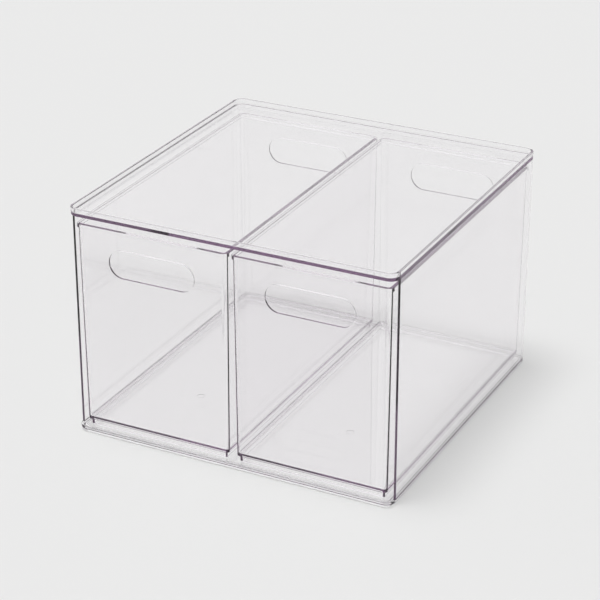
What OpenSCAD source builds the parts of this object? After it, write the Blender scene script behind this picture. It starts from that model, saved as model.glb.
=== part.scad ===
// Stackable two-bin drawer box in clear rigid plastic.
// An open-front case with a stacking tray for its top holds two loose bins side by side.
// Millimetres, +Z up, front towards -Y, origin under the middle of the case on the surface it stands on.

/* [Case] */
// Width of the case across both bins
case_w = 305; // [270:1:420]
// Depth of the case from front to back
case_d = 305; // [200:1:420]
// Height of the case from the foot to the top of the stacking rim
case_h = 214; // [140:1:300]
// Thickness of the side walls and the back wall
wall_t = 2; // [1.5:0.1:3.5]
// Thickness of the case floor
floor_t = 2.5; // [1.8:0.1:4]
// Plan radius of the case corners
corner_r = 9; // [7:0.5:16]

/* [Stacking rim and foot] */
// Thickness of the tray's plate
plate_t = 2.2; // [1.6:0.1:4]
// Height of the rim above the tray's plate
rim_h = 4.8; // [4.5:0.1:9]
// Thickness of the rim
rim_t = 2; // [1.2:0.1:2.5]
// Height of the foot ring under the case
foot_h = 3; // [2:0.1:4.4]
// Thickness of the foot ring
foot_t = 2; // [1.2:0.1:2.5]
// Play on each side between a foot ring and the rim that it stands in
foot_play = 1; // [0.4:0.1:1.5]

/* [Bins] */
// Gap between the lips of the two bins
middle_gap = 2.4; // [1:0.1:6]
// Gap between a bin's lip and the side wall beside it
side_gap = 2.9; // [1:0.1:6]
// Gap between a bin's lip and the back wall
back_gap = 1.6; // [0.5:0.1:6]
// How far a bin's lip stands behind the front of the case
front_inset = 3.3; // [1:0.1:20]
// Free height between the bins and the tray
headroom = 8; // [4:0.5:20]
// Thickness of a bin's walls
bin_wall_t = 2; // [1.5:0.1:3]
// Thickness of a bin's floor
bin_floor_t = 2.5; // [1.5:0.1:4]
// Plan radius of a bin's corners at the bottom
bin_corner_r = 3.5; // [3:0.5:12]
// How much narrower each side of a bin is at the bottom than at the lip
lean = 1.2; // [0.3:0.1:3]
// How far the lip stands out from the wall
lip_out = 1.3; // [0.5:0.1:2.5]
// Height of the lip
lip_h = 3.5; // [2:0.1:8]
// Height of the foot ring under a bin
bin_foot_h = 5.5; // [2:0.1:10]
// Thickness of a bin's foot ring
bin_foot_t = 2; // [1.2:0.1:3]
// How far a bin's foot ring stands in from the bin's bottom edge
bin_foot_inset = 2.5; // [1:0.1:8]

/* [Finger slots] */
// Length of a finger slot over its round ends
slot_l = 82.5; // [50:0.5:100]
// Height of a finger slot
slot_h = 26; // [18:0.5:34]
// Depth of a slot's centre line below the top of the bin
slot_drop = 30.5; // [24:0.5:50]

/* [Moulding marks] */
// Diameter of the gate mark under each bin's floor
gate_d = 7; // [4:0.5:12]
// Depth of the gate mark
gate_depth = 0.5; // [0.2:0.1:0.8]
// How far the gate mark lies in front of the middle of the bin
gate_forward = 67; // [0:1:80]

/* [Hidden] */
$fn = 96;

// A cut runs this far past the face that it opens
past = 2;
// Smallest inside radius of a moulded ring
min_r = 1;

// Heights
floor_z = foot_h + floor_t;
plate_z = case_h - rim_h - plate_t;
wall_h = plate_z - floor_z;
bin_z = floor_z + bin_foot_h;
bin_top = plate_z - headroom;
bin_h = bin_top - bin_z;
slot_z = bin_top - slot_drop;

// Foot ring of the case, sized to stand inside the rim of the case below
foot_inset = rim_t + foot_play;

// Bins, measured at the lip and then at the wall's outer face just under the top
bay_w = case_w - 2 * wall_t;
lip_w = (bay_w - 2 * side_gap - middle_gap) / 2;
lip_d = case_d - wall_t - back_gap - front_inset;
bin_w = lip_w - 2 * lip_out;
bin_d = lip_d - 2 * lip_out;
bin_x = (lip_w + middle_gap) / 2;
bin_y = front_inset + lip_d / 2 - case_d / 2;
bin_base_w = bin_w - 2 * lean;
bin_base_d = bin_d - 2 * lean;
lean_rate = lean / bin_h;

// Colour of the clear violet plastic
clear_violet = [0.86, 0.83, 0.9, 0.35];

// Plan outline with round corners, centred on the origin
module round_rect(w, d, r) {
    square([w - 2 * r, d], center = true);
    square([w, d - 2 * r], center = true);
    for (x = [-1, 1], y = [-1, 1])
        translate([x * (w / 2 - r), y * (d / 2 - r)])
            circle(r);
}

// Ring that follows a round_rect of the same outer size
module ring(w, d, r, t, h) {
    linear_extrude(h)
        difference() {
            round_rect(w, d, r);
            round_rect(w - 2 * t, d - 2 * t, r - t);
        }
}

// Upright plate of length l along Y whose two sides lean outwards, w wide at its foot
module leaning_plate(w, l, h) {
    spread = h * lean_rate;
    rotate([90, 0, 0])
        translate([0, 0, -l / 2])
            linear_extrude(l)
                polygon([[-w / 2, 0], [w / 2, 0], [w / 2 + spread, h], [-w / 2 - spread, h]]);
}

// Block with four leaning sides and round corners that open out with height
module bin_form(w, d, r, h) {
    leaning_plate(w, d - 2 * r, h);
    rotate(90)
        leaning_plate(d, w - 2 * r, h);
    for (x = [-1, 1], y = [-1, 1])
        translate([x * (w / 2 - r), y * (d / 2 - r), 0])
            cylinder(r1 = r, r2 = r + h * lean_rate, h = h);
}

// Slot with full round ends, cut right through a wall from front to back
module slot_cut(depth) {
    rotate([90, 0, 0])
        translate([0, 0, -depth / 2])
            linear_extrude(depth)
                union() {
                    square([slot_l - slot_h, slot_h], center = true);
                    for (x = [-1, 1])
                        translate([x * (slot_l - slot_h) / 2, 0])
                            circle(slot_h / 2);
                }
}

// Side walls and back wall, open to the front, where they stop short of the round corners
module open_walls() {
    difference() {
        ring(case_w, case_d, corner_r, wall_t, wall_h);
        translate([-case_w / 2 - past, -case_d / 2 - past, -past])
            cube([case_w + 2 * past, corner_r + past, wall_h + 2 * past]);
    }
}

// Floor with its foot ring, side walls and back wall in one moulding
module case_body() {
    color(clear_violet)
        union() {
            ring(case_w - 2 * foot_inset, case_d - 2 * foot_inset, corner_r - foot_inset, foot_t, foot_h);
            translate([0, 0, foot_h])
                linear_extrude(floor_t)
                    round_rect(case_w, case_d, corner_r);
            translate([0, 0, floor_z])
                open_walls();
        }
}

// Plate with the rim that keeps the foot of the case above, bonded onto the walls
module top_tray() {
    color(clear_violet)
        translate([0, 0, plate_z])
            union() {
                linear_extrude(plate_t)
                    round_rect(case_w, case_d, corner_r);
                translate([0, 0, plate_t])
                    ring(case_w, case_d, corner_r, rim_t, rim_h);
            }
}

// One bin standing on its foot ring, centred over the origin at its own height in the case.
// A shallow gate mark under its floor shows where the plastic entered the mould.
module bin() {
    foot_w = bin_base_w - 2 * bin_foot_inset;
    foot_d = bin_base_d - 2 * bin_foot_inset;
    foot_r = max(bin_corner_r - bin_foot_inset, bin_foot_t + min_r);
    hollow_in = bin_wall_t - bin_floor_t * lean_rate;
    difference() {
        union() {
            translate([0, 0, bin_z])
                bin_form(bin_base_w, bin_base_d, bin_corner_r, bin_h);
            translate([0, 0, bin_top - lip_h])
                linear_extrude(lip_h)
                    round_rect(lip_w, lip_d, bin_corner_r + lean + lip_out);
            translate([0, 0, floor_z])
                ring(foot_w, foot_d, foot_r, bin_foot_t, bin_foot_h);
        }
        translate([0, 0, bin_z + bin_floor_t])
            bin_form(
                bin_base_w - 2 * hollow_in,
                bin_base_d - 2 * hollow_in,
                bin_corner_r - hollow_in,
                bin_h - bin_floor_t + past
            );
        translate([0, 0, slot_z])
            slot_cut(lip_d + 2 * past);
        translate([0, -gate_forward, bin_z - past])
            cylinder(d = gate_d, h = past + gate_depth);
    }
}

module bin_left() {
    color(clear_violet)
        translate([-bin_x, bin_y, 0])
            bin();
}

module bin_right() {
    color(clear_violet)
        translate([bin_x, bin_y, 0])
            bin();
}

case_body();
top_tray();
bin_left();
bin_right();
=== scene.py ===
"""A clear plastic stacking case with two loose bins side by side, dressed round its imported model.

Every length is in metres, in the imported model's own frame: +Z up, the open front towards -Y and
the origin under the middle of the case, on the surface that it stands on.
"""

import logging
import math
from dataclasses import dataclass, field
from enum import Enum
from typing import Sequence

import bmesh
import bpy
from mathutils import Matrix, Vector


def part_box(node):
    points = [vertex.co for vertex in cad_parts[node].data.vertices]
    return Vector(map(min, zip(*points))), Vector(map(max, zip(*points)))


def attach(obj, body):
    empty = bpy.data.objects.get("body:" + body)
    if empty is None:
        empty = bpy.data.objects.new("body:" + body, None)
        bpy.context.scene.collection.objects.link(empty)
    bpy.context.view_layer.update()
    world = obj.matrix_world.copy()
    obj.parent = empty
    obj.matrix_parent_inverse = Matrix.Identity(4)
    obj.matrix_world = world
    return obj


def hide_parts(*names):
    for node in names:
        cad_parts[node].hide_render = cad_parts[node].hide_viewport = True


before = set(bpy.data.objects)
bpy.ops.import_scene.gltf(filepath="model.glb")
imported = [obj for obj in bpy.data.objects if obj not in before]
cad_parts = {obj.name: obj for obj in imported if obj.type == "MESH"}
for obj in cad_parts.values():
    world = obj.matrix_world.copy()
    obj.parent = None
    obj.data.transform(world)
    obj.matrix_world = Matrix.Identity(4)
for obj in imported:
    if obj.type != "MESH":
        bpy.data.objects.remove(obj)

MM = 0.001

# Straight steps that stand for a corner seen from above, for an edge's rounding and for a slot
CORNER_STEPS = 12
BEND_STEPS = 4
SLOT_STEPS = 96
# Points on a corner and on an edge's rounding
CORNER_POINTS = CORNER_STEPS + 1
BEND_POINTS = BEND_STEPS + 1
# An outline's points run against the clock from the front's right end. These are the points at
# which the straight stretches of the right side, the back and the front start, and the point at
# which that of the left side ends.
RIGHT_START = CORNER_POINTS - 1
BACK_START = 2 * CORNER_POINTS - 1
LEFT_END = 3 * CORNER_POINTS
FRONT_START = 4 * CORNER_POINTS - 1

log = logging.getLogger("drawer_box")

Vert = bmesh.types.BMVert
Profile = list[tuple[float, float]]


class Slot(Enum):
    """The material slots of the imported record."""

    CASE = "case_plastic"
    BIN = "bin_plastic"


class End(Enum):
    """The two ends of a bin, as the sign that turns its front into that end."""

    FRONT = 1
    BACK = -1


class Side(Enum):
    """The two sides of the case, as the sign of their place along X."""

    LEFT = -1
    RIGHT = 1


# ---------------------------------------------------------------- finishes


@dataclass(frozen=True)
class NodeBench:
    """Puts nodes into a node tree and joins them up.

    Attributes:
        tree: the node tree of a material or of the world.
    """

    tree: bpy.types.NodeTree

    def add(self, kind: str) -> bpy.types.Node:
        """Adds a node of Blender's kind of that name."""
        return self.tree.nodes.new(kind)

    def join(self, source: bpy.types.NodeSocket, target: bpy.types.NodeSocket) -> None:
        """Leads one socket to another."""
        self.tree.links.new(source, target)

    def maths(
        self,
        operation: str,
        first: bpy.types.NodeSocket | float,
        second: bpy.types.NodeSocket | float = 0.0,
    ) -> bpy.types.NodeSocket:
        """Adds a node that works on one or two values.

        Args:
            operation: Blender's name of the operation.
            first: the first value.
            second: the second value, where the operation has one.

        Returns:
            The socket with the result.
        """
        node = self.add("ShaderNodeMath")
        node.operation = operation
        for socket, value in zip(node.inputs, (first, second)):
            if isinstance(value, bpy.types.NodeSocket):
                self.join(value, socket)
            else:
                socket.default_value = value
        return node.outputs["Value"]

    def fade(
        self,
        value: bpy.types.NodeSocket,
        span: tuple[float, float],
        result: tuple[float, float] = (0.0, 1.0),
        shape: str = "SMOOTHSTEP",
    ) -> bpy.types.NodeSocket:
        """Adds a rise or fall from one level to another.

        Args:
            value: socket with the value that it follows.
            span: values at which it starts and ends.
            result: levels at its start and end.
            shape: Blender's name of its shape, soft at both ends or LINEAR.

        Returns:
            The socket with the level.
        """
        node = self.add("ShaderNodeMapRange")
        node.interpolation_type = shape
        node.inputs["From Min"].default_value, node.inputs["From Max"].default_value = span
        node.inputs["To Min"].default_value, node.inputs["To Max"].default_value = result
        self.join(value, node.inputs["Value"])
        return node.outputs["Result"]

    def noise(
        self, place: bpy.types.NodeSocket, scale: float, detail: float
    ) -> bpy.types.NodeSocket:
        """Adds a noise pattern.

        Args:
            place: socket with the place on the piece.
            scale: patches in a metre.
            detail: how many finer patterns are laid over the first.

        Returns:
            The socket with the pattern's value.
        """
        node = self.add("ShaderNodeTexNoise")
        node.inputs["Scale"].default_value = scale
        node.inputs["Detail"].default_value = detail
        self.join(place, node.inputs["Vector"])
        return node.outputs["Fac"]

    def place(self, kind: str) -> bpy.types.NodeSocket:
        """Adds the socket with the place, in Blender's coordinates of that name."""
        return self.add("ShaderNodeTexCoord").outputs[kind]

    def axes(self, vector: bpy.types.NodeSocket) -> bpy.types.bpy_prop_collection:
        """Adds a node that takes a vector apart.

        Args:
            vector: socket with the vector.

        Returns:
            The sockets with its parts, by the names X, Y and Z.
        """
        node = self.add("ShaderNodeSeparateXYZ")
        self.join(vector, node.inputs["Vector"])
        return node.outputs

    def seen(self) -> bpy.types.NodeSocket:
        """Adds a measure that is 1 for the camera's view, straight, mirrored or through plastic.

        Returns:
            The socket with the measure, which is 0 for the light that falls on matt surfaces.
        """
        path = self.add("ShaderNodeLightPath").outputs
        bent = self.maths("MAXIMUM", path["Is Glossy Ray"], path["Is Transmission Ray"])
        return self.maths("MAXIMUM", path["Is Camera Ray"], bent)


@dataclass(frozen=True)
class ClearPlastic:
    """Rigid clear plastic with a faint violet tint that shows where light runs along a wall.

    Attributes:
        name: name of the material.
        taken: light that a metre of the plastic takes from red, green and blue.
        density: strength of the tint as Blender counts it, above the most that is taken.
        ior: how strongly the plastic bends light.
        polish: roughness of the best polished places.
        haze: roughness that the faintly hazy patches add.
        patch_size: distance between the hazy patches.
        patch_detail: finer patterns in the patches.
        patch_span: the pattern's values at which the haze starts and is full.
        wave_size: distance between the gentle waves that the mould leaves in a wall.
        wave_detail: finer patterns in the waves.
        wave_height: height of the waves.
    """

    name: str
    taken: tuple[float, float, float] = (5.1, 6.8, 5.0)
    density: float = 10.2
    ior: float = 1.57
    polish: float = 0.0
    haze: float = 0.02
    patch_size: float = 180 * MM
    patch_detail: float = 4.0
    patch_span: tuple[float, float] = (0.45, 0.75)
    wave_size: float = 60 * MM
    wave_detail: float = 1.0
    wave_height: float = 0.004 * MM

    def material(self) -> bpy.types.Material:
        """Gives the material, built the first time that a piece asks for it.

        Returns:
            A node material with a clear surface and a tinted inside.
        """
        made = bpy.data.materials.get(self.name)
        if made is not None:
            return made
        material = bpy.data.materials.new(self.name)
        material.use_nodes = True
        bench = NodeBench(material.node_tree)
        surface = material.node_tree.nodes["Principled BSDF"]
        surface.inputs["Base Color"].default_value = (1, 1, 1, 1)
        surface.inputs["Transmission Weight"].default_value = 1
        surface.inputs["IOR"].default_value = self.ior
        place = bench.place("Object")
        patches = bench.noise(place, 1 / self.patch_size, self.patch_detail)
        gloss = (self.polish, self.polish + self.haze)
        roughness = bench.fade(patches, self.patch_span, gloss, "LINEAR")
        bench.join(roughness, surface.inputs["Roughness"])
        bump = bench.add("ShaderNodeBump")
        bump.inputs["Strength"].default_value = 1
        bump.inputs["Distance"].default_value = self.wave_height
        waves = bench.noise(place, 1 / self.wave_size, self.wave_detail)
        bench.join(waves, bump.inputs["Height"])
        bench.join(bump.outputs["Normal"], surface.inputs["Normal"])
        inside = bench.add("ShaderNodeVolumeAbsorption")
        inside.inputs["Density"].default_value = self.density
        tint = [1 - share / self.density for share in self.taken]
        inside.inputs["Color"].default_value = (*tint, 1)
        output = material.node_tree.nodes["Material Output"]
        bench.join(inside.outputs["Volume"], output.inputs["Volume"])
        return material


@dataclass(frozen=True)
class PaleSweep:
    """Matt pale surface that the object stands on, with a pool of light painted on it under the
    case.

    Attributes:
        name: name of the material.
        colour: its colour.
        glow: share of it that shows the colour unshaded to the camera, in reflections and through
            the plastic. The rest takes the shadow.
        painted_light_pool: the same share under the case, where a pool of light is painted on the
            floor by place, which all but hides the case's shadow there.
        painted_light_pool_reach: distance from the middle at which the painted pool of light is
            full and at which it ends.
    """

    name: str = "pale_sweep"
    colour: tuple[float, float, float] = (0.81, 0.81, 0.808)
    glow: float = 0.6
    # Share for the pool of light painted on the floor under the case
    painted_light_pool: float = 0.96
    painted_light_pool_reach: tuple[float, float] = (138 * MM, 149 * MM)

    def material(self) -> bpy.types.Material:
        """Builds the material of the floor.

        Returns:
            A matt node material.
        """
        material = bpy.data.materials.new(self.name)
        material.use_nodes = True
        bench = NodeBench(material.node_tree)
        surface = material.node_tree.nodes["Principled BSDF"]
        surface.inputs["Base Color"].default_value = (*self.colour, 1)
        surface.inputs["Roughness"].default_value = 1
        surface.inputs["Specular IOR Level"].default_value = 0
        plain = bench.add("ShaderNodeEmission")
        plain.inputs["Color"].default_value = (*self.colour, 1)
        mix = bench.add("ShaderNodeMixShader")
        # The mix share holds the pool of light painted under the case
        bench.join(bench.maths("MULTIPLY", bench.seen(), self._unshaded(bench)), mix.inputs["Fac"])
        bench.join(surface.outputs["BSDF"], mix.inputs[1])
        bench.join(plain.outputs["Emission"], mix.inputs[2])
        output = material.node_tree.nodes["Material Output"]
        bench.join(mix.outputs["Shader"], output.inputs["Surface"])
        return material

    def _unshaded(self, bench: NodeBench) -> bpy.types.NodeSocket:
        """Adds the share that shows the colour unshaded, with a pool of light painted on the floor
        under the case by place.

        Args:
            bench: the material's node tree.

        Returns:
            The socket with the share.
        """
        axes = bench.axes(bench.place("Object"))
        sides = [bench.maths("ABSOLUTE", axes[axis]) for axis in ("X", "Y")]
        reach = bench.maths("MAXIMUM", *sides)
        # Painted pool of light: under the case the floor shows its colour unshaded by its place,
        # whatever light reaches it
        return bench.fade(reach, self.painted_light_pool_reach, (self.painted_light_pool, self.glow))


# ---------------------------------------------------------------- mesh work


@dataclass(frozen=True)
class Bend:
    """A corner of a section.

    Attributes:
        inset: how far it lies in from the outline, or out where it is negative.
        height: its height.
        radius: radius of its rounding, or 0 for a sharp corner.
    """

    inset: float
    height: float
    radius: float = 0.0


def quarter(step: int) -> float:
    """Gives the angle of a point on a square edge's rounding, which is a quarter turn."""
    return math.radians(90 * step / BEND_STEPS)


def offsets(radius: float, step: int) -> tuple[float, float]:
    """Gives a point on a square edge's rounding.

    Args:
        radius: radius of the rounding.
        step: the point's step, from 0 on the first face to BEND_STEPS on the second.

    Returns:
        How far the point lies from the second face and from the first.
    """
    turn = quarter(step)
    return radius * (1 - math.sin(turn)), radius * (1 - math.cos(turn))


def rounded(bends: Sequence[Bend]) -> Profile:
    """Turns a section's corners into arcs that meet its straight stretches.

    Args:
        bends: the section's corners in order. The first and last are its ends.

    Returns:
        The section's points as (inset, height).
    """
    points: Profile = [(bends[0].inset, bends[0].height)]
    for before, bend, after in zip(bends, bends[1:], bends[2:]):
        corner = Vector((bend.inset, bend.height))
        if bend.radius == 0:
            points.append(tuple(corner))
            continue
        back = (Vector((before.inset, before.height)) - corner).normalized()
        ahead = (Vector((after.inset, after.height)) - corner).normalized()
        half = back.angle(ahead) / 2
        inward = (back + ahead).normalized()
        across = (ahead - back).normalized()
        centre = corner + inward * bend.radius / math.sin(half)
        sweep = math.pi / 2 - half
        for step in range(BEND_POINTS):
            turn = sweep * (2 * step / BEND_STEPS - 1)
            way = across * math.sin(turn) - inward * math.cos(turn)
            points.append(tuple(centre + way * bend.radius))
    points.append((bends[-1].inset, bends[-1].height))
    return points


@dataclass
class Outline:
    """Rectangle with round corners, seen from above, that a section follows.

    Attributes:
        width: size along X.
        depth: size along Y.
        radius: radius of the corners.
        centre: place of the middle.
        least: smallest radius that a corner keeps when the outline shrinks.
    """

    width: float
    depth: float
    radius: float
    centre: tuple[float, float] = (0.0, 0.0)
    least: float = 0.4 * MM

    def points(self, inset: float, height: float) -> list[Vector]:
        """Gives the outline's points, from the right end of the front, round against the clock.

        Args:
            inset: how far the points lie in from the outline, or out where it is negative.
            height: height of the points.

        Returns:
            One point for each step of the four corners.
        """
        radius = max(self.radius - inset, self.least)
        reach = (self.width / 2 - inset - radius, self.depth / 2 - inset - radius)
        found = []
        for corner, (side, end) in enumerate(((1, -1), (1, 1), (-1, 1), (-1, -1))):
            for step in range(CORNER_POINTS):
                turn = math.radians(90 * (corner - 1 + step / CORNER_STEPS))
                x = self.centre[0] + side * reach[0] + radius * math.cos(turn)
                y = self.centre[1] + end * reach[1] + radius * math.sin(turn)
                found.append(Vector((x, y, height)))
        return found


@dataclass
class Moulding:
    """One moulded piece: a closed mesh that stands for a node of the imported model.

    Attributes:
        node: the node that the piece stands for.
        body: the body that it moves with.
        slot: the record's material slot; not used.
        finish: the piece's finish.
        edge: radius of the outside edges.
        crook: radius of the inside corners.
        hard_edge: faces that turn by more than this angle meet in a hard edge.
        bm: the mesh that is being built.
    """

    node: str
    body: str
    slot: Slot
    finish: ClearPlastic
    edge: float = 0.4 * MM
    crook: float = 0.8 * MM
    hard_edge: float = math.radians(50)
    bm: bmesh.types.BMesh = field(init=False, repr=False)

    def __post_init__(self) -> None:
        """Starts the empty mesh."""
        self.bm = bmesh.new()

    def ring(self, points: Sequence[Vector]) -> list[Vert]:
        """Adds the points of one loop to the mesh."""
        return [self.bm.verts.new(p) for p in points]

    def face(self, corners: Sequence[Vert]) -> None:
        """Adds a face, or none where fewer than three corners are left.

        Args:
            corners: its corners in order, of which any that comes twice running counts once.
        """
        kept = [v for i, v in enumerate(corners) if v is not corners[i - 1]]
        if len(kept) > 2:
            self.bm.faces.new(kept)

    def band(
        self, lower: Sequence[Vert], upper: Sequence[Vert], skip: Sequence[int] = ()
    ) -> None:
        """Joins two loops that have as many points by a band of faces.

        Args:
            lower: the loop that comes first in the section.
            upper: the loop that follows it.
            skip: steps of the loop that get no face.
        """
        for i in range(len(lower)):
            if i not in skip:
                j = (i + 1) % len(lower)
                self.face((lower[i], lower[j], upper[j], upper[i]))

    def bands(self, loops: Sequence[Sequence[Vert]]) -> None:
        """Joins each loop to the next by a band of faces."""
        for lower, upper in zip(loops, loops[1:]):
            self.band(lower, upper)

    def band_open(self, lower: Sequence[Vert], upper: Sequence[Vert]) -> None:
        """Joins two open rows that have as many points by a band of faces."""
        for i in range(len(lower) - 1):
            self.face((lower[i], lower[i + 1], upper[i + 1], upper[i]))

    def loft(self, outline: Outline, profile: Profile) -> list[list[Vert]]:
        """Adds a loop for each point of a section that runs round the outline.

        Args:
            outline: the outline that the section follows.
            profile: the section's points.

        Returns:
            The loops, without faces.
        """
        return [self.ring(outline.points(inset, height)) for inset, height in profile]

    def pierced(self, corners: Sequence[Vert], near: Sequence[Vert], far: Sequence[Vert]) -> None:
        """Fills a four-sided wall round a hole.

        Args:
            corners: the wall's corners in order.
            near: the hole's rim from the second corner's side to the first's, past their edge.
            far: the rest of the rim, back to where near starts.
        """
        self.face((corners[0], corners[1], *near))
        self.face((corners[1], corners[2], corners[3], corners[0], *far))

    def finished(self) -> bpy.types.Object:
        """Makes the object, with its finish, on its body and in its node's place.

        Returns:
            The finished piece.
        """
        mesh = bpy.data.meshes.new(self.node)
        self.bm.normal_update()
        self.bm.to_mesh(mesh)
        normals = self._normals()
        self.bm.free()
        mesh.polygons.foreach_set("use_smooth", [True] * len(mesh.polygons))
        mesh.normals_split_custom_set(normals)
        mesh.materials.append(self.finish.material())
        piece = bpy.data.objects.new("clear_" + self.node, mesh)
        bpy.context.scene.collection.objects.link(piece)
        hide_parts(self.node)
        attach(piece, self.body)
        log.info("%s: %d faces on body %s", piece.name, len(mesh.polygons), self.body)
        return piece

    def _normals(self) -> list[Vector]:
        """Weights each corner's normal by the faces that meet there, so that flat walls stay flat.

        Returns:
            One normal for each corner of each face.
        """
        found = []
        for face in self.bm.faces:
            for corner in face.loops:
                total = Vector()
                for other in corner.vert.link_faces:
                    if face.normal.dot(other.normal) > math.cos(self.hard_edge):
                        total += other.normal * other.calc_area()
                found.append(total.normalized())
        return found


# ---------------------------------------------------------------- the case


@dataclass
class TopTray(Moulding):
    """Plate with the raised rim that takes the foot of the next case.

    Attributes:
        plate_thickness: thickness of the plate.
        rim_thickness: thickness of the rim.
        corner_radius: radius of the corners seen from above.
        seam: air between the plate and the walls that it is bonded to.
    """

    plate_thickness: float = 2.2 * MM
    rim_thickness: float = 2 * MM
    corner_radius: float = 9 * MM
    seam: float = 0.03 * MM

    def build(self) -> bpy.types.Object:
        """Builds the tray.

        Returns:
            The finished piece.
        """
        low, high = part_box(self.node)
        outline = Outline(high.x - low.x, high.y - low.y, self.corner_radius)
        plate = low.z + self.plate_thickness
        profile = rounded(
            (
                Bend(2 * self.rim_thickness, low.z + self.seam),
                Bend(0, low.z + self.seam, self.edge),
                Bend(0, high.z, self.edge),
                Bend(self.rim_thickness, high.z, self.edge),
                Bend(self.rim_thickness, plate, self.crook),
                Bend(2 * self.rim_thickness, plate),
            )
        )
        loops = self.loft(outline, profile)
        self.bands(loops)
        self.face(loops[0][::-1])
        self.face(loops[-1])
        return self.finished()


@dataclass
class CaseBody(Moulding):
    """Floor, foot ring, side walls and back wall of the case in one moulding.

    Attributes:
        floor_thickness: thickness of the floor.
        wall_thickness: thickness of the walls.
        corner_radius: radius of the corners seen from above.
        foot_height: height of the foot ring.
        foot_thickness: thickness of the foot ring.
        foot_inset: how far the foot ring stands in from the walls.
        edge_fade: steps over which the rounding of the floor's front edge grows from each wall.
        floor: height of the floor's top.
        outline: the case seen from above.
    """

    floor_thickness: float = 2.5 * MM
    wall_thickness: float = 2 * MM
    corner_radius: float = 9 * MM
    foot_height: float = 3 * MM
    foot_thickness: float = 2 * MM
    foot_inset: float = 3 * MM
    edge_fade: int = 4
    floor: float = field(init=False, repr=False)
    outline: Outline = field(init=False, repr=False)

    def build(self) -> bpy.types.Object:
        """Builds the case body.

        Returns:
            The finished piece.
        """
        low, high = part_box(self.node)
        self.floor = low.z + self.foot_height + self.floor_thickness
        self.outline = Outline(high.x - low.x, high.y - low.y, self.corner_radius)
        loops = self.loft(self.outline, self._underside(low.z))
        self.bands(loops)
        self.face(loops[0][::-1])
        self._walls_and_floor(loops[-1], high.z)
        return self.finished()

    def _underside(self, ground: float) -> Profile:
        """Gives the section from the middle of the underside to the floor's outer side.

        Args:
            ground: height that the case stands on.

        Returns:
            The section's points.
        """
        under = ground + self.foot_height
        inner = self.foot_inset + self.foot_thickness
        return rounded(
            (
                Bend(inner + self.foot_thickness, under),
                Bend(inner, under, self.crook),
                Bend(inner, ground, self.edge),
                Bend(self.foot_inset, ground, self.edge),
                Bend(self.foot_inset, under, self.crook),
                Bend(0, under, self.edge),
                Bend(0, self.floor - self.edge),
            )
        )

    def _walls_and_floor(self, side: list[Vert], top: float) -> None:
        """Raises the three walls from the floor's outer side and closes the floor between them.

        Args:
            side: loop on the floor's outer side, just below the floor's edge.
            top: height of the walls.
        """
        outer = side[RIGHT_START : LEFT_END + 1]
        plan, spreads = self._wall_plan(outer)
        walls = [self.ring([spot + out for spot, out in zip(plan, step)]) for step in spreads]
        walls.append(self.ring([Vector((p.x, p.y, top - self.edge / 2)) for p in plan]))
        rim = self._shrunk(plan, self.edge / 2)
        walls.append(self.ring([Vector((p.x, p.y, top)) for p in rim]))
        self.bands(walls)
        self.face(walls[-1])
        base = walls[0]
        self.band_open(outer, base[: len(outer)])
        self._front_edge(side, base[: len(outer)], base[len(outer) :])

    def _wall_plan(self, outer: Sequence[Vert]) -> tuple[list[Vector], list[list[Vector]]]:
        """Gives the walls' outline on the floor and how far it spreads into the inside corner.

        Args:
            outer: points of the outer face, from the right wall's front end round the back.

        Returns:
            The outline, and for each step of the inside corner the shift of each of its points.
        """
        plan = [Vector((v.co.x, v.co.y, self.floor)) for v in outer]
        out = [Vector()] * len(outer)
        left, right = self._wall_end(Side.LEFT), self._wall_end(Side.RIGHT)
        for spot, way in (*left[1:], *self._back_corners(), *right[:-1]):
            plan.append(spot)
            out.append(way)
        steps = []
        for step in range(BEND_POINTS):
            spread, rise = offsets(self.crook, step)
            steps.append([way * spread + Vector((0, 0, rise)) for way in out])
        return plan, steps

    def _wall_end(self, side: Side) -> list[tuple[Vector, Vector]]:
        """Gives the rounded front end of a side wall, against the clock.

        Args:
            side: the wall's side.

        Returns:
            Its points, each with the way in which the wall spreads there to meet the floor.
        """
        half = self.outline.width / 2
        front = -self.outline.depth / 2 + self.corner_radius
        found = []
        for step in range(BEND_POINTS):
            turn = quarter(step)
            way = Vector((-math.cos(turn), -math.sin(turn), 0))
            centre = Vector((-half + self.edge, front, self.floor))
            found.append((centre + way * self.edge, way * (1 - math.cos(turn)) ** 2))
        for step in range(BEND_POINTS):
            turn = quarter(step)
            way = Vector((math.sin(turn), -math.cos(turn), 0))
            centre = Vector((-half + (self.wall_thickness - self.edge), front, self.floor))
            found.append((centre + way * self.edge, way))
        if side is Side.LEFT:
            return found
        mirror = Vector((-1, 1, 1))
        return [(spot * mirror, way * mirror) for spot, way in found[::-1]]

    def _back_corners(self) -> list[tuple[Vector, Vector]]:
        """Gives the inner face of the two back corners, with the clock.

        Returns:
            The points from left to right, each with the way in which the wall spreads there.
        """
        radius = self.corner_radius - self.wall_thickness
        x = self.outline.width / 2 - self.corner_radius
        y = self.outline.depth / 2 - self.corner_radius
        found = []
        for corner, side in ((2, Side.LEFT), (1, Side.RIGHT)):
            for step in range(CORNER_POINTS):
                turn = math.radians(90 * (corner - step / CORNER_STEPS))
                way = Vector((math.cos(turn), math.sin(turn), 0))
                found.append((Vector((side.value * x, y, self.floor)) + way * radius, -way))
        return found

    def _shrunk(self, plan: Sequence[Vector], by: float) -> list[Vector]:
        """Moves each point of the walls' outline into the wall.

        Args:
            plan: the outline.
            by: how far the points move.

        Returns:
            The moved points.
        """
        found = []
        for i, point in enumerate(plan):
            along = (plan[(i + 1) % len(plan)] - plan[i - 1]).normalized()
            found.append(point + Vector((-along.y, along.x, 0)) * by)
        return found

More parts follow.
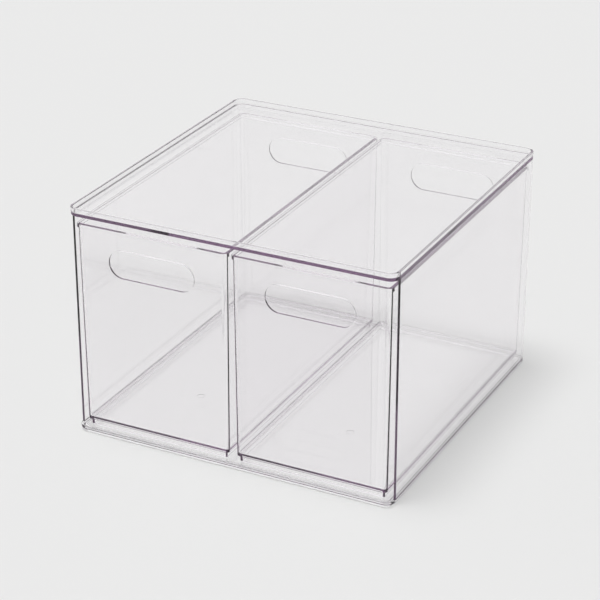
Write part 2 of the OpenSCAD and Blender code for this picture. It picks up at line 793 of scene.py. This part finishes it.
    def _front_edge(self, side: list[Vert], outer: list[Vert], inner: list[Vert]) -> None:
        """Rounds the floor's front edge between the walls and fills the floor's top.

        The rounding grows from nothing at each wall, so that it meets the wall's flush outer face.

        Args:
            side: loop on the floor's outer side.
            outer: the walls' outer points on the floor, from the right wall's front end.
            inner: the rest of the walls' points on the floor, from the left wall's front end.
        """
        front = [*range(LEFT_END + 1, len(side)), *range(RIGHT_START)]
        rows = [[side[i] for i in front]]
        for step in range(1, BEND_POINTS):
            drop, inset = offsets(self.edge, step)
            flush = self.outline.points(0, self.floor - drop)
            soft = self.outline.points(inset, self.floor - drop)
            row = []
            for place, i in enumerate(front, start=1):
                share = min(place, len(front) + 1 - place) / self.edge_fade
                row.append(flush[i].lerp(soft[i], min(1, share)))
            rows.append(self.ring(row))
        for lower, upper in zip(rows, rows[1:]):
            self.band_open(lower, upper)
        right, left = outer[0], outer[-1]
        self.face((side[LEFT_END], *[row[0] for row in rows], left))
        self.face((side[RIGHT_START], right, *[row[-1] for row in rows[::-1]]))
        self.face((*rows[-1], right, *inner[::-1], left))


# ---------------------------------------------------------------- the bins


@dataclass
class Bin(Moulding):
    """One loose bin: leaning walls, floor, foot ring, lip and a finger slot at each end.

    Attributes:
        wall_thickness: thickness of the walls.
        floor_thickness: thickness of the floor.
        corner_radius: radius of the corners at the bottom, seen from above.
        lean: how much further out a wall stands at the top than at the bottom.
        lip_out: how far the lip stands out from the wall.
        lip_height: height of the lip.
        foot_height: height of the foot ring.
        foot_thickness: thickness of the foot ring.
        foot_inset: how far the foot ring stands in from the bottom edge.
        slot_length: length of a finger slot over its round ends.
        slot_height: height of a finger slot.
        slot_drop: depth of its centre line below the top.
        slot_edge: radius of its rims.
        inner_bend: radius between the floor and the walls inside.
        bottom_bend: radius of the bottom edge.
        gate_diameter: diameter of the mark that the mould's gate leaves under the floor.
        gate_depth: depth of the mark.
        gate_forward: how far it lies in front of the middle.
        gate_edge: radius of its rim.
        rest_gap: air between the foot ring and the case's floor.
        outline: the bin's bottom edge seen from above.
        under: height of the floor's underside.
        top: height of the lip's top.
        rate: how far a wall leans out for each metre of height.
    """

    wall_thickness: float = 2 * MM
    floor_thickness: float = 2.5 * MM
    corner_radius: float = 3.5 * MM
    lean: float = 1.2 * MM
    lip_out: float = 1.3 * MM
    lip_height: float = 3.5 * MM
    foot_height: float = 5.5 * MM
    foot_thickness: float = 2 * MM
    foot_inset: float = 2.5 * MM
    slot_length: float = 82.5 * MM
    slot_height: float = 26 * MM
    slot_drop: float = 30.5 * MM
    slot_edge: float = 0.3 * MM
    inner_bend: float = 0.6 * MM
    bottom_bend: float = 0.5 * MM
    gate_diameter: float = 7 * MM
    gate_depth: float = 0.5 * MM
    gate_forward: float = 67 * MM
    gate_edge: float = 0.2 * MM
    rest_gap: float = 0.03 * MM
    outline: Outline = field(init=False, repr=False)
    under: float = field(init=False, repr=False)
    top: float = field(init=False, repr=False)
    rate: float = field(init=False, repr=False)

    def build(self) -> bpy.types.Object:
        """Builds the bin.

        Returns:
            The finished piece.
        """
        low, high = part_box(self.node)
        spread = 2 * (self.lip_out + self.lean)
        centre = ((low.x + high.x) / 2, (low.y + high.y) / 2)
        width, depth = high.x - low.x - spread, high.y - low.y - spread
        self.outline = Outline(width, depth, self.corner_radius, centre)
        self.under = low.z + self.foot_height
        self.top = high.z
        self.rate = self.lean / (high.z - self.under)
        profile, outside, inside = self._section(low.z)
        loops = self.loft(self.outline, profile)
        straight = {End.FRONT: FRONT_START, End.BACK: BACK_START}
        for step, (lower, upper) in enumerate(zip(loops, loops[1:])):
            skip = straight.values() if step in (outside, inside) else ()
            self.band(lower, upper, tuple(skip))
        self._underside(loops[0])
        self.face(loops[-1])
        for end, place in straight.items():
            walls = [self._wall(loops[step], loops[step + 1], place) for step in (outside, inside)]
            self._slot(end, *walls)
        return self.finished()

    def _underside(self, rim: list[Vert]) -> None:
        """Closes the underside of the floor round the shallow mark that the mould's gate leaves.

        Args:
            rim: the loop round the underside.
        """
        radius, edge = self.gate_diameter / 2, self.gate_edge
        roof = self.under + self.gate_depth
        profile = rounded((Bend(-edge * 2, self.under), Bend(0, self.under, edge), Bend(0, roof)))
        x, y = self.outline.centre
        mark = Outline(2 * radius, 2 * radius, radius, (x, y - self.gate_forward))
        loops = self.loft(mark, profile)
        for lower, upper in zip(loops, loops[1:]):
            self.band(upper, lower)
        self.face(loops[-1][::-1])
        hole = loops[0]
        right, left = RIGHT_START, LEFT_END
        self.face((*rim[left:], *rim[: right + 1], *hole[right::-1], *hole[: left - 1 : -1])[::-1])
        self.face((*rim[right : left + 1], *hole[left : right - 1 : -1])[::-1])

    def _section(self, ground: float) -> tuple[Profile, int, int]:
        """Gives the bin's section and the steps of it that are the two faces of the wall.

        Args:
            ground: height that the bin stands on.

        Returns:
            The section, the outer face's step and the inner face's step.
        """
        ground += self.rest_gap
        inner = self.foot_inset + self.foot_thickness
        lip = self.top - self.lip_height
        neck = -self.rate * (lip - self.under)
        floor = self.under + self.floor_thickness
        hollow = self.wall_thickness - self.rate * self.floor_thickness
        mouth = hollow - self.rate * (self.top - floor)
        foot = (
            Bend(inner + self.foot_thickness, self.under),
            Bend(inner, self.under, self.edge),
            Bend(inner, ground, self.edge),
            Bend(self.foot_inset, ground, self.edge),
            Bend(self.foot_inset, self.under, self.edge),
            Bend(0, self.under, self.bottom_bend),
        )
        rim = (
            Bend(neck, lip, self.edge),
            Bend(-self.lean - self.lip_out, lip, self.edge),
            Bend(-self.lean - self.lip_out, self.top, self.edge),
            Bend(mouth, self.top, self.edge),
        )
        inside = (
            Bend(hollow, floor, self.inner_bend),
            Bend(hollow + 2 * self.inner_bend, floor),
        )
        outer_face = (len(foot) - 1) * BEND_POINTS
        inner_face = outer_face + len(rim) * BEND_POINTS
        return rounded((*foot, *rim, *inside)), outer_face, inner_face

    @staticmethod
    def _wall(lower: Sequence[Vert], upper: Sequence[Vert], place: int) -> list[Vert]:
        """Gives the corners of the flat stretch of a wall that follows a step of the loops."""
        after = (place + 1) % len(lower)
        return [lower[place], lower[after], upper[after], upper[place]]

    def _slot(self, end: End, outer: list[Vert], inner: list[Vert]) -> None:
        """Cuts the finger slot through one end wall, with rounded rims.

        Args:
            end: the end wall.
            outer: corners of the wall's outer face.
            inner: corners of the wall's inner face.
        """
        near = [offsets(self.slot_edge, step) for step in range(BEND_POINTS)]
        far = [(grow, self.wall_thickness - depth) for grow, depth in near[::-1]]
        loops = [self.ring(self._slot_points(end, *step)) for step in (*near, *far)]
        self.bands(loops)
        half = SLOT_STEPS // 2
        rim = loops[0]
        self.pierced(outer, (rim[0], *rim[: half - 1 : -1]), rim[half::-1])
        rim = loops[-1]
        self.pierced(inner, rim[: half + 1], (*rim[half:], rim[0]))

    def _slot_points(self, end: End, grow: float, depth: float) -> list[Vector]:
        """Gives one loop of the slot, against the clock as seen from outside its end.

        Args:
            end: the end wall.
            grow: how much larger the loop is than the slot.
            depth: how far the loop lies behind the outer face.

        Returns:
            The loop's points, from its end at the right.
        """
        radius = self.slot_height / 2 + grow
        reach = (self.slot_length - self.slot_height) / 2
        top, bottom = SLOT_STEPS // 4, 3 * SLOT_STEPS // 4
        found = []
        for step in range(SLOT_STEPS):
            turn = 2 * math.pi * step / SLOT_STEPS
            side = -1 if top < step <= bottom else 1
            x = side * reach + radius * math.cos(turn)
            z = self.top - self.slot_drop + radius * math.sin(turn)
            y = -(self.outline.depth / 2 + self.rate * (z - self.under) - depth)
            place = Vector((end.value * x, end.value * y, z))
            found.append(place + Vector((*self.outline.centre, 0)))
        return found


# ---------------------------------------------------------------- studio


@dataclass(frozen=True)
class Sky:
    """Light from all round.

    The floor takes its light from a soft lamp overhead and a plain glow round it. The plastic
    mirrors a sky that is grey at the horizon and brighter above, with a faint strip low down
    behind the case.

    Attributes:
        steps: strength of the mirrored sky by height, from the horizon at 0 to overhead at 1.
        lean: side that the mirrored sky is brighter on, and by how much.
        strip: strength that the strip adds.
        strip_way: direction of its middle.
        strip_edge: how near a direction has to be to the middle to start it and to fill it.
        strip_top: height at which it starts and at which it is full.
        lamp: strength of the lamp.
        lamp_way: direction of its middle.
        lamp_edge: how near a direction has to be to the middle to start it and to fill it.
        plain: strength of the glow round the lamp.
    """

    steps: tuple[tuple[float, float], ...] = (
        (0.0, 0.25),
        (0.1, 0.25),
        (0.2, 0.7),
        (0.5, 0.9),
        (0.65, 1.25),
        (1.0, 1.08),
    )
    lean: tuple[float, float, float] = (-0.35, -0.1, 0.0)
    strip: float = 0.3
    strip_way: tuple[float, float, float] = (-0.5, 0.866, 0.0)
    strip_edge: tuple[float, float] = (0.7, 0.96)
    strip_top: tuple[float, float] = (0.33, 0.25)
    lamp: float = 24.5
    lamp_way: tuple[float, float, float] = (-0.12, -0.1, 0.988)
    lamp_edge: tuple[float, float] = (0.97, 0.998)
    plain: float = 0.27

    def build(self) -> None:
        """Makes the world that lights the scene."""
        world = bpy.data.worlds.new("studio_light")
        bpy.context.scene.world = world
        world.use_nodes = True
        bench = NodeBench(world.node_tree)
        way = bench.place("Generated")
        seen = bench.seen()
        mirrored = bench.maths("MULTIPLY", self._mirrored(bench, way), seen)
        lamp = bench.fade(self._toward(bench, way, self.lamp_way), self.lamp_edge)
        light = bench.maths("ADD", bench.maths("MULTIPLY", lamp, self.lamp), self.plain)
        cast = bench.maths("MULTIPLY", light, bench.maths("SUBTRACT", 1.0, seen))
        background = world.node_tree.nodes["Background"]
        background.inputs["Color"].default_value = (1, 1, 1, 1)
        bench.join(bench.maths("ADD", mirrored, cast), background.inputs["Strength"])

    def _mirrored(self, bench: NodeBench, way: bpy.types.NodeSocket) -> bpy.types.NodeSocket:
        """Adds the sky that the plastic mirrors.

        Args:
            bench: the world's node tree.
            way: socket with the direction of the sky's place.

        Returns:
            The socket with its strength.
        """
        height = bench.axes(way)["Z"]
        ramp = bench.add("ShaderNodeValToRGB")
        stops = ramp.color_ramp.elements
        while len(stops) < len(self.steps):
            stops.new(1)
        for stop, (level, strength) in zip(stops, self.steps):
            stop.position = level
            stop.color = (strength, strength, strength, 1)
        bench.join(height, ramp.inputs["Fac"])
        side = bench.maths("ADD", self._toward(bench, way, self.lean), 1.0)
        base = bench.maths("MULTIPLY", ramp.outputs["Color"], side)
        low = bench.fade(height, self.strip_top)
        near = bench.fade(self._toward(bench, way, self.strip_way), self.strip_edge)
        strip = bench.maths("MULTIPLY", bench.maths("MULTIPLY", low, near), self.strip)
        return bench.maths("ADD", base, strip)

    @staticmethod
    def _toward(
        bench: NodeBench, way: bpy.types.NodeSocket, direction: tuple[float, float, float]
    ) -> bpy.types.NodeSocket:
        """Adds a measure of how near the sky's place is to a direction.

        Args:
            bench: the world's node tree.
            way: socket with the direction of the sky's place.
            direction: the direction that it is measured against.

        Returns:
            The socket with the measure, which is the direction's length where they agree.
        """
        node = bench.add("ShaderNodeVectorMath")
        node.operation = "DOT_PRODUCT"
        node.inputs[1].default_value = direction
        bench.join(way, node.inputs[0])
        return node.outputs["Value"]


@dataclass
class Studio:
    """Plain pale floor, soft light all round and the camera.

    Attributes:
        floor_size: length of the floor's sides.
        floor_drop: air between the floor and the feet.
        lens: the camera's focal length, in millimetres.
        sensor: width of the camera's sensor, in millimetres.
        azimuth: degrees by which the camera looks from the right of the front.
        elevation: degrees by which it looks from above.
        eye: its place.
        bounces: most times that light may turn, which it does often inside a clear wall.
        passes: most times that it may pass through a surface.
        mirrorings: most times that it may be mirrored.
        scatterings: most times that it may be scattered by a matt surface.
    """

    floor_size: float = 12.0
    floor_drop: float = 0.02 * MM
    lens: float = 124.8
    sensor: float = 36.0
    azimuth: float = 26.8
    elevation: float = 25.4
    eye: tuple[float, float, float] = (0.752, -1.5065, 0.895)
    bounces: int = 128
    passes: int = 64
    mirrorings: int = 96
    scatterings: int = 6

    def build(self) -> None:
        """Builds the floor, the light and the camera."""
        self._floor()
        Sky().build()
        self._camera()
        self._render_limits()

    def _floor(self) -> None:
        """Lays the floor just under the feet."""
        half = self.floor_size / 2
        bm = bmesh.new()
        places = ((-half, -half), (half, -half), (half, half), (-half, half))
        bm.faces.new([bm.verts.new((x, y, -self.floor_drop)) for x, y in places])
        mesh = bpy.data.meshes.new("studio_floor")
        bm.to_mesh(mesh)
        bm.free()
        mesh.materials.append(PaleSweep().material())
        floor = bpy.data.objects.new("studio_floor", mesh)
        bpy.context.scene.collection.objects.link(floor)

    def _camera(self) -> None:
        """Sets the camera up in front, to the right and above."""
        data = bpy.data.cameras.new("camera")
        data.lens, data.sensor_width = self.lens, self.sensor
        camera = bpy.data.objects.new("camera", data)
        camera.location = self.eye
        camera.rotation_euler = (math.radians(90 - self.elevation), 0, math.radians(self.azimuth))
        bpy.context.scene.collection.objects.link(camera)
        bpy.context.scene.camera = camera

    def _render_limits(self) -> None:
        """Sets the plain view and lets light run the whole length of a wall inside the plastic."""
        scene = bpy.context.scene
        scene.view_settings.view_transform = "Standard"
        scene.cycles.max_bounces = self.bounces
        scene.cycles.transmission_bounces = self.passes
        scene.cycles.glossy_bounces = self.mirrorings
        scene.cycles.diffuse_bounces = self.scatterings


def main() -> None:
    """Builds the case, the bins and the studio, in that order."""
    logging.basicConfig(level=logging.INFO, format="%(name)s: %(message)s")
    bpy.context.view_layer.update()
    case_finish = ClearPlastic("clear_case_plastic")
    bin_finish = ClearPlastic("clear_bin_plastic")
    CaseBody("case_body", "case", Slot.CASE, case_finish).build()
    TopTray("top_tray", "case", Slot.CASE, case_finish).build()
    for name in ("bin_left", "bin_right"):
        Bin(name, name, Slot.BIN, bin_finish).build()
    Studio().build()


if __name__ == "__main__":
    main()
